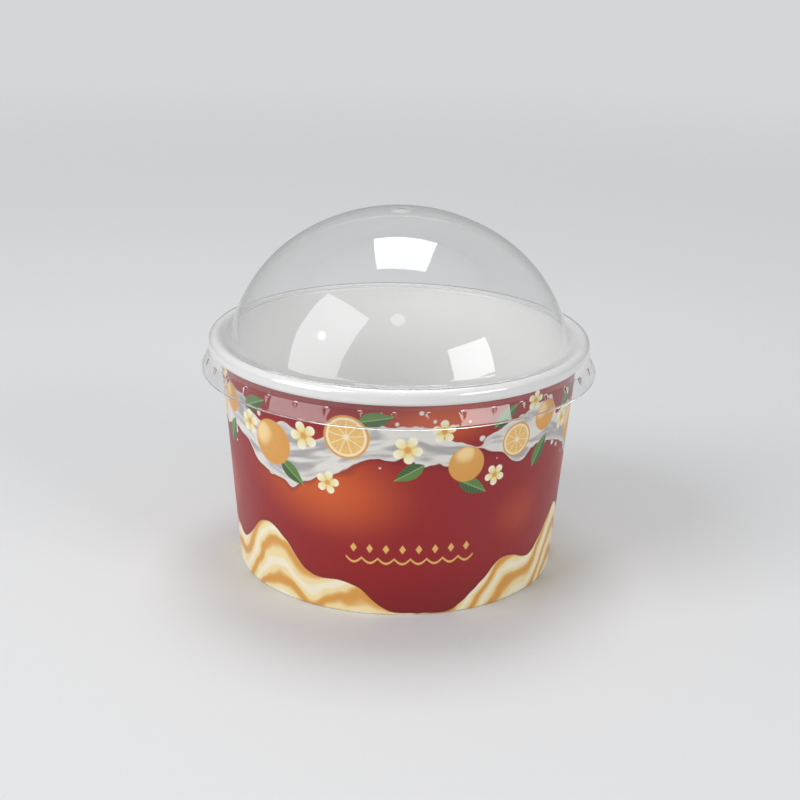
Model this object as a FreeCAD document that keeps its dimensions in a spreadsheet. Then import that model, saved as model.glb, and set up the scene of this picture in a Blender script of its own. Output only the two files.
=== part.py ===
# Paper ice-cream tub with a clear dome lid.
#
# The tub is built as the real one is: a paper wall that is curled over into a rim at its
# top and folded in and up into a hem at its foot, a paper bottom whose skirt the hem
# holds, and a one-piece clear lid that clips over the rim. Millimetres, +Z up, with the
# origin at the middle of the foot. The lap seam of the wall is at the back, on +Y.
#
# Every piece is a thin sheet, so its section is drawn by one function, sheet_section,
# as a chain of bends that straight runs join.
import FreeCAD, Part
import math
import os
import Sketcher

# ---------------------------------------------------------------- driving sizes

SIZES = [
    # paper wall
    ("cup_height", 60.0, "foot to the top of the rim"),
    ("rim_radius", 48.0, "outer radius of the curled rim"),
    ("foot_radius", 40.6, "outer radius of the wall at its foot"),
    ("board", 0.45, "thickness of the wall's paper"),
    ("curl_width", 2.8, "width of the rim's curl"),
    ("curl_depth", 3.6, "height of the rim's curl"),
    ("curl_slit", 0.2, "gap between the wall and the tail of the curl"),
    ("curl_tail", 0.5, "straight end of the paper inside the curl"),
    ("lap_width", 8.0, "overlap of the side seam"),
    ("lap_step", 0.3, "how far the overlap stands out of the wall"),
    ("lap_ramp", 2.5, "stretch over which the outer layer comes down to the wall"),
    ("lap_root", 0.15, "how deep the overlap is bonded into the wall"),
    ("lap_margin", 0.4, "overlap ends this far from the fold and from the curl"),
    # paper bottom, held in the wall's hem
    ("recess", 7.0, "table to the underside of the bottom"),
    ("bottom_board", 0.35, "thickness of the bottom's paper"),
    ("bottom_bend", 0.8, "outer radius of the bend from the bottom into its skirt"),
    ("glue_gap", 0.02, "bond line on each side of the skirt"),
    ("hem_clearance", 1.0, "top of the hem to the underside of the bottom"),
    ("skirt_clearance", 0.3, "edge of the skirt to the fold of the hem"),
    # clear lid
    ("film", 0.3, "thickness of the lid's sheet"),
    ("dome_rise", 31.8, "top of the rim to the top of the dome"),
    ("dome_join", 33.8, "angle off the axis at which the crown meets the shoulder, degrees"),
    ("dome_lean", 14.8, "lean of the dome's wall at its foot, degrees"),
    ("groove_inset", 3.75, "rim's outer radius to the groove round the dome's foot"),
    ("groove_bend", 1.5, "upper radius of that groove"),
    ("plug_depth", 0.4, "how far the groove dips into the cup's mouth"),
    ("ledge_bend", 1.85, "outer radius of the ledge over the rim"),
    ("seat_gap", 0.05, "rim to the ledge that rests on it"),
    ("side_gap", 0.15, "rim to the lid's skirt beside it"),
    ("skirt_draft", 4.0, "flare of the lid's skirt beside the rim, degrees"),
    ("flare_drop", 4.2, "top of the rim to the bend below which the skirt flares out"),
    ("flare_bend", 1.0, "outer radius of that bend"),
    ("flare_draft", 17.5, "flare of the skirt below that bend, degrees"),
    ("skirt_drop", 8.2, "top of the rim to the upper face of the flange"),
    ("flange_bend", 0.25, "upper radius from the skirt into the flange"),
    ("flange_reach", 2.2, "flange's edge beyond the rim"),
    # dimples in the lid's skirt that clip under the rim
    ("lug_count", 38, "dimples round the skirt"),
    ("lug_start", -91.0, "direction of the first dimple, degrees from +X"),
    ("lug_drop", 4.6, "top of the rim to the top of the dimples"),
    ("lug_height", 2.4, "height of a dimple"),
    ("lug_radius", 1.2, "radius of a dimple's rounded front at its top"),
    ("lug_tip_radius", 0.25, "radius of a dimple's front at its lower tip"),
    ("lug_clearance", 0.05, "rim to the front of the dimples as they pass it"),
    ("lug_overcut", 0.3, "how far the dimples' hollow is cut beyond the skirt"),
    ("pip_radius", 0.9, "radius of the moulding pip on the crown"),
    ("pip_top_radius", 0.6, "radius of the pip's upper face"),
    ("pip_height", 0.25, "height of the pip"),
]

# ---------------------------------------------------------------- places worked out from the sizes

LAYOUT = [
    # wall: the heel is the outer corner inside the hem, the toe is the inner one
    ("curl_bend", "Sizes.curl_width / 2", "outer radius of the curl's upper half"),
    ("curl_x", "Sizes.rim_radius - curl_bend", ""),
    ("curl_z", "Sizes.cup_height - curl_bend", ""),
    ("heel_x", "Sizes.foot_radius - Sizes.board", ""),
    ("heel_z", "Sizes.board", ""),
    ("lean", "atan((curl_x - heel_x) / (curl_z - heel_z))"
             " - asin(curl_bend / hypot(curl_x - heel_x; curl_z - heel_z))",
     "lean of the wall off the upright"),
    ("wall_flat", "Sizes.board / cos(lean)", "wall's thickness measured level"),
    ("neck_x", "heel_x + wall_flat + (curl_z - heel_z) * tan(lean)", "printed face at the curl"),
    ("tail_x", "neck_x + Sizes.curl_slit", ""),
    ("tuck_bend", "(Sizes.rim_radius - tail_x) / 2", "outer radius of the curl's lower half"),
    ("tuck_x", "Sizes.rim_radius - tuck_bend", ""),
    ("tuck_z", "Sizes.cup_height - Sizes.curl_depth + tuck_bend", ""),
    ("tail_z", "tuck_z + Sizes.curl_tail", ""),
    ("toe_x", "heel_x - (Sizes.bottom_board + 2 * Sizes.glue_gap) / cos(lean)", ""),
    ("toe_z", "Sizes.board", ""),
    ("hem_z", "Sizes.recess - Sizes.hem_clearance", ""),
    ("hem_x", "toe_x + (hem_z - toe_z) * tan(lean)", ""),
    # lap seam: its outer and inner radius at its lower and its upper end
    ("lap_low_z", "Sizes.board + Sizes.lap_margin", ""),
    ("lap_high_z", "Sizes.cup_height - Sizes.curl_depth - Sizes.lap_margin", ""),
    ("lap_low_out", "heel_x + wall_flat + (lap_low_z - heel_z) * tan(lean) + Sizes.lap_step", ""),
    ("lap_high_out", "heel_x + wall_flat + (lap_high_z - heel_z) * tan(lean) + Sizes.lap_step", ""),
    ("lap_low_in", "lap_low_out - Sizes.lap_step - Sizes.lap_root", ""),
    ("lap_high_in", "lap_high_out - Sizes.lap_step - Sizes.lap_root", ""),
    ("lap_half", "Sizes.lap_width / 2", ""),
    ("lap_foot", "lap_half + Sizes.lap_ramp", ""),
    # bottom
    ("floor_z", "Sizes.recess + Sizes.bottom_board", "upper face of the bottom"),
    ("drop_z", "floor_z - Sizes.bottom_bend", ""),
    ("drop_x", "heel_x + (drop_z - heel_z) * tan(lean)"
               " - (Sizes.glue_gap + Sizes.bottom_bend) / cos(lean)", ""),
    ("edge_z", "Sizes.board + Sizes.skirt_clearance", ""),
    ("edge_x", "heel_x + (edge_z - heel_z) * tan(lean) - Sizes.glue_gap / cos(lean)", ""),
    # lid: groove, ledge, flare and flange
    ("apex_z", "Sizes.cup_height + Sizes.dome_rise", ""),
    ("groove_x", "Sizes.rim_radius - Sizes.groove_inset", ""),
    ("groove_z", "Sizes.cup_height - Sizes.plug_depth + Sizes.film + Sizes.groove_bend", ""),
    ("ledge_x", "Sizes.rim_radius + Sizes.side_gap + Sizes.film - Sizes.ledge_bend", ""),
    ("ledge_z", "Sizes.cup_height + Sizes.seat_gap + Sizes.film - Sizes.ledge_bend", ""),
    ("flare_z", "Sizes.cup_height - Sizes.flare_drop", ""),
    ("flare_x", "ledge_x + (Sizes.ledge_bend + Sizes.flare_bend) / cos(Sizes.skirt_draft)"
                " + (ledge_z - flare_z) * tan(Sizes.skirt_draft)", ""),
    ("flange_z", "Sizes.cup_height - Sizes.skirt_drop", ""),
    ("flange_x", "Sizes.rim_radius + Sizes.flange_reach", ""),
    ("turn_z", "flange_z + Sizes.flange_bend", ""),
    ("turn_x", "flare_x + (Sizes.flange_bend - Sizes.flare_bend) / cos(Sizes.flare_draft)"
               " + (flare_z - turn_z) * tan(Sizes.flare_draft)", ""),
    # dome: two arcs that meet in line at dome_join, reach the apex and stand on the groove
    ("dome_span", "groove_x - Sizes.groove_bend * cos(Sizes.dome_lean)", ""),
    ("dome_lift", "apex_z - groove_z + Sizes.groove_bend * sin(Sizes.dome_lean)", ""),
    ("dome_scale", "sin(Sizes.dome_join) * (1 - sin(Sizes.dome_lean))"
                   " - cos(Sizes.dome_lean) * (1 - cos(Sizes.dome_join))", ""),
    ("dome_shift", "(dome_span * (1 - sin(Sizes.dome_lean))"
                   " - dome_lift * cos(Sizes.dome_lean)) / dome_scale",
     "crown's radius less the shoulder's"),
    ("shoulder_bend", "(dome_lift * sin(Sizes.dome_join)"
                      " - dome_span * (1 - cos(Sizes.dome_join))) / dome_scale", ""),
    ("crown_bend", "shoulder_bend + dome_shift", ""),
    ("crown_z", "apex_z - crown_bend", ""),
    ("shoulder_x", "dome_shift * sin(Sizes.dome_join)", ""),
    ("shoulder_z", "crown_z + dome_shift * cos(Sizes.dome_join)", ""),
    # dimples: inner face of the skirt at their top and tip, then their two sections
    ("lug_top_z", "Sizes.cup_height - Sizes.lug_drop", ""),
    ("lug_tip_z", "lug_top_z - Sizes.lug_height", ""),
    ("skirt_top_x", "flare_x - (Sizes.flare_bend + Sizes.film) / cos(Sizes.flare_draft)"
                    " + (flare_z - lug_top_z) * tan(Sizes.flare_draft)", ""),
    ("skirt_tip_x", "skirt_top_x + Sizes.lug_height * tan(Sizes.flare_draft)", ""),
    ("lug_top_x", "Sizes.rim_radius + Sizes.lug_clearance + Sizes.lug_radius", ""),
    ("lug_top_back", "skirt_top_x + Sizes.film / 2", ""),
    ("lug_tip_x", "skirt_tip_x + Sizes.film / 4 + Sizes.lug_tip_radius", ""),
    ("lug_tip_back", "skirt_tip_x + Sizes.film / 2", ""),
    ("lug_lean", "atan((skirt_tip_x + Sizes.film / 4 - Sizes.rim_radius"
                 " - Sizes.lug_clearance) / Sizes.lug_height)", "lean of a dimple's front"),
    ("dent_shift", "Sizes.film * (1 + sin(lug_lean)) / cos(lug_lean)",
     "keeps a film between a dimple's front and its hollow"),
    ("dent_top_z", "lug_top_z - Sizes.film", ""),
    ("dent_tip_z", "lug_tip_z - Sizes.film", ""),
    ("dent_top_x", "lug_top_x + dent_shift", ""),
    ("dent_top_back", "skirt_top_x + Sizes.film + Sizes.lug_overcut", ""),
    ("dent_tip_x", "lug_tip_x + dent_shift", ""),
    ("dent_tip_back", "skirt_tip_x + Sizes.film + Sizes.lug_overcut", ""),
    # pip
    ("pip_z", "apex_z - Sizes.film / 2", ""),
    ("pip_tall", "Sizes.pip_height + Sizes.film / 2", ""),
]

# numbers that FreeCAD gives to an element's points and to a sketch's axes
FIRST, LAST, CENTRE = 1, 2, 3
H_AXIS, V_AXIS = -1, -2
ORIGIN = (H_AXIS, FIRST)
TINY = 1e-6
UP = FreeCAD.Vector(0, 0, 1)

doc = FreeCAD.newDocument("ice_cream_tub")


def fill_sheet(name, rows):
    """Writes each value's alias, its number or formula, and what it is."""
    sheet = doc.addObject("Spreadsheet::Sheet", name)
    for row, (alias, value, note) in enumerate(rows, start=1):
        sheet.set(f"A{row}", alias)
        sheet.set(f"B{row}", "=" + value if isinstance(value, str) else str(value))
        sheet.set(f"C{row}", note)
        sheet.setAlias(f"B{row}", alias)
    doc.recompute()
    return sheet


sizes = fill_sheet("Sizes", SIZES)
layout = fill_sheet("Layout", LAYOUT)
driving = {alias for alias, _, _ in SIZES}


def cell(alias):
    """The sheet reference of a value, for use in an expression."""
    return ("Sizes." if alias in driving else "Layout.") + alias


def number(alias):
    """The present number of a value, from which a sketch is first drawn."""
    return float((sizes if alias in driving else layout).get(alias))


# ---------------------------------------------------------------- sketches


def new_sketch(body, name, role):
    """A sketch on one of the body's own origin planes."""
    plane = next(item for item in body.Origin.OriginFeatures if item.Role == role)
    sketch = body.newObject("Sketcher::SketchObject", name)
    sketch.AttachmentSupport = [(plane, "")]
    sketch.MapMode = "FlatFace"
    return sketch


def join(sketch, kind, *places):
    """A constraint without a size."""
    sketch.addConstraint(Sketcher.Constraint(kind, *places))


def measure(sketch, name, kind, places, value, expression):
    """A named constraint whose size is bound to the sheets."""
    index = sketch.addConstraint(Sketcher.Constraint(kind, *places, value))
    sketch.renameConstraint(index, name)
    sketch.setExpression(f"Constraints.{name}", expression)


def pin(sketch, name, place, x_alias, z_alias):
    """Fixes a point of the sketch. Without an x alias the point is on the upright axis."""
    if x_alias:
        where = (*ORIGIN, *place)
        measure(sketch, name + "_x", "DistanceX", where, number(x_alias), cell(x_alias))
    else:
        join(sketch, "PointOnObject", *place, V_AXIS)
    measure(sketch, name + "_z", "DistanceY", (*ORIGIN, *place), number(z_alias), cell(z_alias))


class Bend:
    """A bend of a sheet, seen in section.

    turn is 1 where the sheet turns right along its way, -1 where it turns left and 0 at an
    end or at a left turn whose left face is sharp. The radius is that of the sheet's left
    face. A free bend finds its own centre, because it touches both its neighbours.
    """

    def __init__(self, name, x_alias, z_alias, radius_alias=None, turn=0, free=False):
        self.name = name
        self.x_alias = x_alias
        self.z_alias = z_alias
        self.radius_alias = radius_alias
        self.turn = turn
        self.free = free
        x = number(x_alias) if x_alias else 0.0
        self.centre = FreeCAD.Vector(x, number(z_alias), 0)

    def radius(self, thickness=None):
        """Signed radius on the sheet's left face, or with a thickness on its right face."""
        left = self.turn * number(self.radius_alias) if self.turn else 0.0
        return left - number(thickness) if thickness else left

    def formula(self, thickness=None):
        """The same radius, unsigned, as an expression."""
        if not thickness:
            return cell(self.radius_alias)
        if not self.turn:
            return cell(thickness)
        sign = "-" if self.turn > 0 else "+"
        return f"{cell(self.radius_alias)} {sign} {cell(thickness)}"


def run_normal(bend, following):
    """The left-hand normal of the straight run that touches two bends."""
    way = following.centre - bend.centre
    share = (bend.radius() - following.radius()) / way.Length
    share = max(-1.0, min(1.0, share))
    unit = way / way.Length
    left = FreeCAD.Vector(-unit.y, unit.x, 0)
    return unit * share + left * math.sqrt(1 - share * share)


class Face:
    """One face of a sheet's section, drawn along the sheet's way.

    places holds each bend's arc centre, or its corner, and arcs names the bends drawn round.
    """

    def __init__(self, sketch, bends, normals, thickness=None):
        self.sketch = sketch
        self.places = {}
        self.arcs = []
        self.enter = None
        self.leave = None
        self.last_is_arc = False
        for bend, arrive, leave in zip(bends, normals, normals[1:]):
            self.draw_bend(bend, arrive, leave, thickness)
            if bend is not bends[-1]:
                following = bends[bends.index(bend) + 1]
                self.draw_run(bend, following, leave, thickness)

    def add(self, geometry, enter, leave, is_arc):
        """Joins a new stroke to the last one, in line unless both are straight."""
        if self.leave:
            kind = "Tangent" if is_arc or self.last_is_arc else "Coincident"
            join(self.sketch, kind, *self.leave, geometry, enter)
        else:
            self.enter = (geometry, enter)
        self.leave = (geometry, leave)
        self.last_is_arc = is_arc

    def draw_bend(self, bend, arrive, leave, thickness):
        """Draws a bend's arc, if the bend is round on this face."""
        radius = bend.radius(thickness)
        swing = arrive.getAngle(leave) * (-1 if bend.turn > 0 else 1)
        if abs(radius) < TINY or abs(swing) < TINY:
            return
        start = math.atan2(arrive.y, arrive.x) + (math.pi if radius < 0 else 0.0)
        circle = Part.Circle(bend.centre, UP, abs(radius))
        arc = self.sketch.addGeometry(Part.ArcOfCircle(circle, *sorted((start, start + swing))))
        self.add(arc, *((FIRST, LAST) if swing > 0 else (LAST, FIRST)), True)
        name = bend.name + ("_under" if thickness else "_over")
        measure(self.sketch, name, "Radius", (arc,), abs(radius), bend.formula(thickness))
        self.places[bend.name] = (arc, CENTRE)
        self.arcs.append(bend)

    def draw_run(self, bend, following, normal, thickness):
        """Draws the straight run between two bends, unless their arcs touch."""
        begin = bend.centre + normal * bend.radius(thickness)
        end = following.centre + normal * following.radius(thickness)
        if (end - begin).Length < TINY:
            return
        line = self.sketch.addGeometry(Part.LineSegment(begin, end))
        self.add(line, FIRST, LAST, False)
        self.places.setdefault(bend.name, (line, FIRST))
        self.places[following.name] = (line, LAST)


def cap(sketch, left, right):
    """Closes the sheet between a place on its left face and one on its right face."""
    line = sketch.addGeometry(Part.LineSegment(sketch.getPoint(*left), sketch.getPoint(*right)))
    join(sketch, "Coincident", line, FIRST, *left)
    join(sketch, "Coincident", line, LAST, *right)
    return line


def square_cap(sketch, name, left, right, thickness):
    """Closes the sheet square to the straight run that ends at the place on its left face."""
    line = cap(sketch, left, right)
    join(sketch, "Perpendicular", line, left[0])
    measure(sketch, name, "Distance", (line,), number(thickness), cell(thickness))


def sheet_section(body, name, bends, thickness, from_axis=False):
    """Sketches the section of a sheet through a chain of bends on the XZ plane.

    The chain runs along the sheet's left face. The sheet ends square, and it begins square
    too, unless from_axis makes it begin level on the axis of revolution.
    """
    sketch = new_sketch(body, name, "XZ_Plane")
    runs = [run_normal(bend, following) for bend, following in zip(bends, bends[1:])]
    level = FreeCAD.Vector(0, 1, 0)
    normals = [level if from_axis else runs[0], *runs, runs[-1]]
    left = Face(sketch, bends, normals)
    right = Face(sketch, bends, normals, thickness)
    for bend in bends:
        if not bend.free:
            pin(sketch, bend.name, left.places[bend.name], bend.x_alias, bend.z_alias)
    for bend in right.arcs:
        if not bend.free:
            join(sketch, "Coincident", *right.places[bend.name], *left.places[bend.name])
    square_cap(sketch, "last_cut", left.leave, right.leave, thickness)
    if not from_axis:
        square_cap(sketch, "first_cut", left.enter, right.enter, thickness)
        return sketch
    cap(sketch, left.enter, right.enter)
    join(sketch, "PointOnObject", *right.enter, V_AXIS)
    if bends[0].turn:
        join(sketch, "PointOnObject", *left.enter, V_AXIS)
    else:
        join(sketch, "Horizontal", right.enter[0])
    return sketch


def revolve(body, name, sketch):
    """Turns a section once round the upright axis."""
    feature = body.newObject("PartDesign::Revolution", name)
    feature.Profile = (sketch, [""])
    feature.ReferenceAxis = (sketch, ["V_Axis"])
    feature.Angle = 360
    return feature


def loft(body, name, kind, sections):
    """A straight-sided loft between two sections."""
    feature = body.newObject(kind, name)
    feature.Profile = (sections[0], [""])
    feature.Sections = [(section, [""]) for section in sections[1:]]
    feature.Ruled = True
    return feature


def new_body(name):
    """A body whose label names its file."""
    body = doc.addObject("PartDesign::Body", name)
    body.Label = name
    return body


# ---------------------------------------------------------------- paper wall

wall_body = new_body("cup_wall")
wall_section = sheet_section(wall_body, "wall_section", [
    Bend("hem", "hem_x", "hem_z"),
    Bend("toe", "toe_x", "toe_z"),
    Bend("heel", "heel_x", "heel_z"),
    Bend("curl", "curl_x", "curl_z", "curl_bend", turn=1),
    Bend("tuck", "tuck_x", "tuck_z", "tuck_bend", turn=1),
    Bend("tail", "tail_x", "tail_z"),
], "board")
revolve(wall_body, "wall", wall_section)


def lap_section(name, height_alias, out_alias, in_alias):
    """Sketches the side seam's overlap at one height, where its inner edge is in the wall.

    The paper's cut edge is the step on the left. On the right the outer layer comes down
    to the wall as a ramp.
    """
    sketch = new_sketch(wall_body, name, "XY_Plane")
    sketch.setExpression(".AttachmentOffset.Base.z", cell(height_alias))
    centre = FreeCAD.Vector()
    half, foot = number("lap_half"), number("lap_foot")
    arcs = []
    for alias, right in ((out_alias, half), (in_alias, foot)):
        radius = number(alias)
        circle = Part.Circle(centre, UP, radius)
        arc = sketch.addGeometry(
            Part.ArcOfCircle(circle, math.acos(right / radius), math.acos(-half / radius)))
        join(sketch, "Coincident", arc, CENTRE, *ORIGIN)
        measure(sketch, alias, "Radius", (arc,), radius, cell(alias))
        arcs.append(arc)
    outer, inner = arcs
    for place in (FIRST, LAST):
        line = sketch.addGeometry(Part.LineSegment(
            sketch.getPoint(outer, place), sketch.getPoint(inner, place)))
        join(sketch, "Coincident", line, FIRST, outer, place)
        join(sketch, "Coincident", line, LAST, inner, place)
    measure(sketch, "ramp_top", "DistanceX", (*ORIGIN, outer, FIRST), half, cell("lap_half"))
    measure(sketch, "ramp_foot", "DistanceX", (*ORIGIN, inner, FIRST), foot, cell("lap_foot"))
    measure(sketch, "step_top", "DistanceX", (outer, LAST, *ORIGIN), half, cell("lap_half"))
    measure(sketch, "step_foot", "DistanceX", (inner, LAST, *ORIGIN), half, cell("lap_half"))
    return sketch


lap_ends = [
    lap_section("lap_low", "lap_low_z", "lap_low_out", "lap_low_in"),
    lap_section("lap_high", "lap_high_z", "lap_high_out", "lap_high_in"),
]
doc.recompute()
wall_body.Tip = loft(wall_body, "lap_seam", "PartDesign::AdditiveLoft", lap_ends)

# ---------------------------------------------------------------- paper bottom

bottom_body = new_body("cup_bottom")
bottom_section = sheet_section(bottom_body, "bottom_section", [
    Bend("floor", None, "floor_z"),
    Bend("drop", "drop_x", "drop_z", "bottom_bend", turn=1),
    Bend("edge", "edge_x", "edge_z"),
], "bottom_board", from_axis=True)
revolve(bottom_body, "bottom", bottom_section)

# ---------------------------------------------------------------- clear lid

lid_body = new_body("dome_lid")
lid_section = sheet_section(lid_body, "lid_section", [
    Bend("crown", None, "crown_z", "crown_bend", turn=1),
    Bend("shoulder", "shoulder_x", "shoulder_z", "shoulder_bend", turn=1, free=True),
    Bend("groove", "groove_x", "groove_z", "groove_bend", turn=-1),
    Bend("ledge", "ledge_x", "ledge_z", "ledge_bend", turn=1),
    Bend("flare", "flare_x", "flare_z", "flare_bend", turn=-1),
    Bend("turn", "turn_x", "turn_z", "flange_bend", turn=-1),
    Bend("flange", "flange_x", "flange_z"),
], "film", from_axis=True)
revolve(lid_body, "shell", lid_section)


def dimple_section(name, height_alias, centre_alias, back_alias, radius_alias):
    """Sketches a dimple at one height: a rounded front on a straight back."""
    sketch = new_sketch(lid_body, name, "XY_Plane")
    sketch.setExpression(".AttachmentOffset.Base.z", cell(height_alias))
    sketch.setExpression(".AttachmentOffset.Rotation.Yaw", cell("lug_start"))
    centre, back, radius = (number(alias) for alias in (centre_alias, back_alias, radius_alias))
    half_turn = math.acos((back - centre) / radius)
    circle = Part.Circle(FreeCAD.Vector(centre, 0, 0), UP, radius)
    front = sketch.addGeometry(Part.ArcOfCircle(circle, half_turn, 2 * math.pi - half_turn))
    chord = sketch.addGeometry(
        Part.LineSegment(sketch.getPoint(front, LAST), sketch.getPoint(front, FIRST)))
    join(sketch, "Coincident", chord, FIRST, front, LAST)
    join(sketch, "Coincident", chord, LAST, front, FIRST)
    join(sketch, "Vertical", chord)
    join(sketch, "PointOnObject", front, CENTRE, H_AXIS)
    measure(sketch, "front", "Radius", (front,), radius, cell(radius_alias))
    measure(sketch, "centre", "DistanceX", (*ORIGIN, front, CENTRE), centre, cell(centre_alias))
    measure(sketch, "back", "DistanceX", (*ORIGIN, chord, FIRST), back, cell(back_alias))
    return sketch


def ring_of(body, name, feature):
    """Repeats a feature round the upright axis, once for each dimple."""
    pattern = body.newObject("PartDesign::PolarPattern", name)
    pattern.Originals = [feature]
    pattern.Axis = (lid_section, ["V_Axis"])
    pattern.Angle = 360
    pattern.setExpression("Occurrences", cell("lug_count"))
    body.Tip = pattern
    return pattern


for name, kind, sections in (
    ("dimple", "PartDesign::AdditiveLoft", (
        ("dimple_top", "lug_top_z", "lug_top_x", "lug_top_back", "lug_radius"),
        ("dimple_tip", "lug_tip_z", "lug_tip_x", "lug_tip_back", "lug_tip_radius"),
    )),
    ("hollow", "PartDesign::SubtractiveLoft", (
        ("hollow_top", "dent_top_z", "dent_top_x", "dent_top_back", "lug_radius"),
        ("hollow_tip", "dent_tip_z", "dent_tip_x", "dent_tip_back", "lug_tip_radius"),
    )),
):
    ends = [dimple_section(*section) for section in sections]
    doc.recompute()
    lug = loft(lid_body, name, kind, ends)
    doc.recompute()
    ring_of(lid_body, name + "_ring", lug)
    doc.recompute()

pip = lid_body.newObject("PartDesign::AdditiveCone", "pip")
xy_plane = next(item for item in lid_body.Origin.OriginFeatures if item.Role == "XY_Plane")
pip.AttachmentSupport = [(xy_plane, "")]
pip.MapMode = "FlatFace"
pip.setExpression(".AttachmentOffset.Base.z", cell("pip_z"))
pip.setExpression(".AttachmentOffset.Rotation.Yaw", cell("lug_start"))
pip.setExpression("Radius1", cell("pip_radius"))
pip.setExpression("Radius2", cell("pip_top_radius"))
pip.setExpression("Height", cell("pip_tall"))
lid_body.Tip = pip

# ---------------------------------------------------------------- checks and files

doc.recompute()
for item in doc.Objects:
    if {"Invalid", "Error"} & set(item.State):
        raise RuntimeError(f"{item.Label} failed: {item.State}")
    if item.isDerivedFrom("Sketcher::SketchObject") and not item.FullyConstrained:
        raise RuntimeError(f"{item.Label} isn't fully constrained")

bodies = [item for item in doc.Objects if item.isDerivedFrom("PartDesign::Body")]
os.makedirs("parts", exist_ok=True)
for body in bodies:
    if body.Shape.isNull() or not body.Shape.isValid():
        raise RuntimeError(f"{body.Label} has no valid shape")
for body in bodies:
    body.Shape.exportStep(f"parts/{body.Label}.step")
    box = body.Shape.optimalBoundingBox()
    print(f"{body.Label}: {len(body.Shape.Solids)} solid, {body.Shape.Volume:.1f} mm3,",
          f"x {box.XMin:.2f} to {box.XMax:.2f}, z {box.ZMin:.2f} to {box.ZMax:.2f}")
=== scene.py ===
"""Looks of a paper ice cream tub with a clear dome lid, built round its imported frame."""

import math

import bmesh
import bpy
from bpy.props import FloatProperty, FloatVectorProperty, IntProperty, PointerProperty
from mathutils import Matrix, Vector


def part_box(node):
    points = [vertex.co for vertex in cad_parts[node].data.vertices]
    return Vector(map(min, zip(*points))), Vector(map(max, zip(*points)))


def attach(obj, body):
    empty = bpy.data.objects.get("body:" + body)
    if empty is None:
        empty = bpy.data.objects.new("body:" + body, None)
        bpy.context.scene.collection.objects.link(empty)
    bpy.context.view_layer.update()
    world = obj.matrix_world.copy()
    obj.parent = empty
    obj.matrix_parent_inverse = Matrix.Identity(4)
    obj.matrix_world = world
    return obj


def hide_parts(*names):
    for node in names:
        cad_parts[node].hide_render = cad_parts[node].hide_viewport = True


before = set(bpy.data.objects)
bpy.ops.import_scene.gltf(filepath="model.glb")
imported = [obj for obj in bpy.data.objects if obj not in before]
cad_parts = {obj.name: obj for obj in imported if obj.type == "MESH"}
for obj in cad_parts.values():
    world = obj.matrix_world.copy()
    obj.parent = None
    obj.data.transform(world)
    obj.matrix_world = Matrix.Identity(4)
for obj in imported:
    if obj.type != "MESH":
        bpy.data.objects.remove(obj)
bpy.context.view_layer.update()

bl_info = {
    "name": "Ice Cream Tub",
    "version": (1, 0, 0),
    "blender": (4, 5, 0),
    "location": "View3D > Sidebar > Tub",
    "description": "Makes a printed paper tub with a rolled rim and a clear dome lid",
    "category": "Add Mesh",
}

MM = 0.001
TINY = 1e-7
UP = Vector((0, 0, 1))
FULL_TURN = 2 * math.pi

_, WALL_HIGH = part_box("cup_wall")
_, LID_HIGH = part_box("dome_lid")
CUP_HEIGHT = WALL_HIGH.z
RIM_RADIUS = WALL_HIGH.x
APEX = LID_HIGH.z
FLANGE_RADIUS = min(LID_HIGH.x, LID_HIGH.y)

# Meshes. Vertices nearer than WELD become one. The lap and the dimples end in steps whose
# faces are STEP_FACE wide. A bend has a vertex at least every WALL_STEP or DOME_STEP, and
# every COARSEST_TURN radians. Edges that turn by more than SHARP are shaded sharp.
WELD = 0.001 * MM
STEP_FACE = 0.02 * MM
WALL_STEP = 1.5 * MM
DOME_STEP = 2 * MM
COARSEST_TURN = 0.2
SHARP = math.radians(35)
WALL_COLUMNS = 240

# The lid's sectors. Each has one dimple within LUG_ZONE, and plain film on both sides of it.
LUG_ZONE = math.radians(2.6)
LUG_COLUMNS = 10
LUG_ROWS = 8
PLAIN_COLUMNS = 2

# Finishes. Grain, clouds, ripples, drops and waves are in cells a metre. CAUGHT_BOUNCES is
# how often the film mirrors a ray before it lets it go.
BARE_ROUGHNESS = 0.33
PRINT_ROUGHNESS = 0.36
FINE_GRAIN = 2600
BROAD_GRAIN = 160
CLOUDS = 260
RIPPLES = 105
DROPS = 330
FILM_WAVES = 45
CAUGHT_BOUNCES = 1

# The print, in mm along the wall and up it. It repeats in PANELS equal panels, PANEL wide
# where the wall's radius is PRINT_RADIUS.
PRINT_RADIUS = 44
PANELS = 3
PANEL = FULL_TURN * PRINT_RADIUS / PANELS

# Glows as (across, height, radii, turn in degrees, strength).
GLOWS = (
    (-18, 33, (28, 16), -8, 0.95),
    (10, 51, (20, 8), 4, 0.85),
    (34, 24, (11, 9), 20, 0.3),
)

# Crests of the waves as (across, sharpness, rise). Their layers slant by WAVE_LAYERS layers
# in a panel.
CRESTS = ((-37, 5, 19), (-14, 10, 8), (31, 8, 12))
WAVE_LAYERS = 5

# The ribbon's height and half width, with waves on each as (waves in a panel, shift, size),
# how far ripples push its edge, and the scale of its folds along x and y, which are in
# metres, and across the ribbon, in mm.
RIBBON_HEIGHT = 43.5
RIBBON_WINDS = ((1, 0.5, 2.6), (2, 2.1, 2.0))
RIBBON_HALF = 4.8
RIBBON_SWELLS = ((1, 3.7, 1.7), (3, 1.0, 1.0))
RIBBON_RAGGED = 11
RIBBON_FOLDS = (50, 50, 0.2)

# The garland: its middle, height and half length, its scallops' pitch and sag, and its
# line's half width. The diamonds lie a gap above it. Their half height is their half width
# by DIAMOND_SLIM.
TRIM_MIDDLE = 4
TRIM_HEIGHT = 15.5
TRIM_HALF = 16.6
TRIM_PITCH = TRIM_HALF / 4
TRIM_SAG = 1.3
TRIM_LINE = 0.3
TRIM_GAP = 2.6
DIAMOND_HALF = 0.85
DIAMOND_SLIM = 0.7

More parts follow.
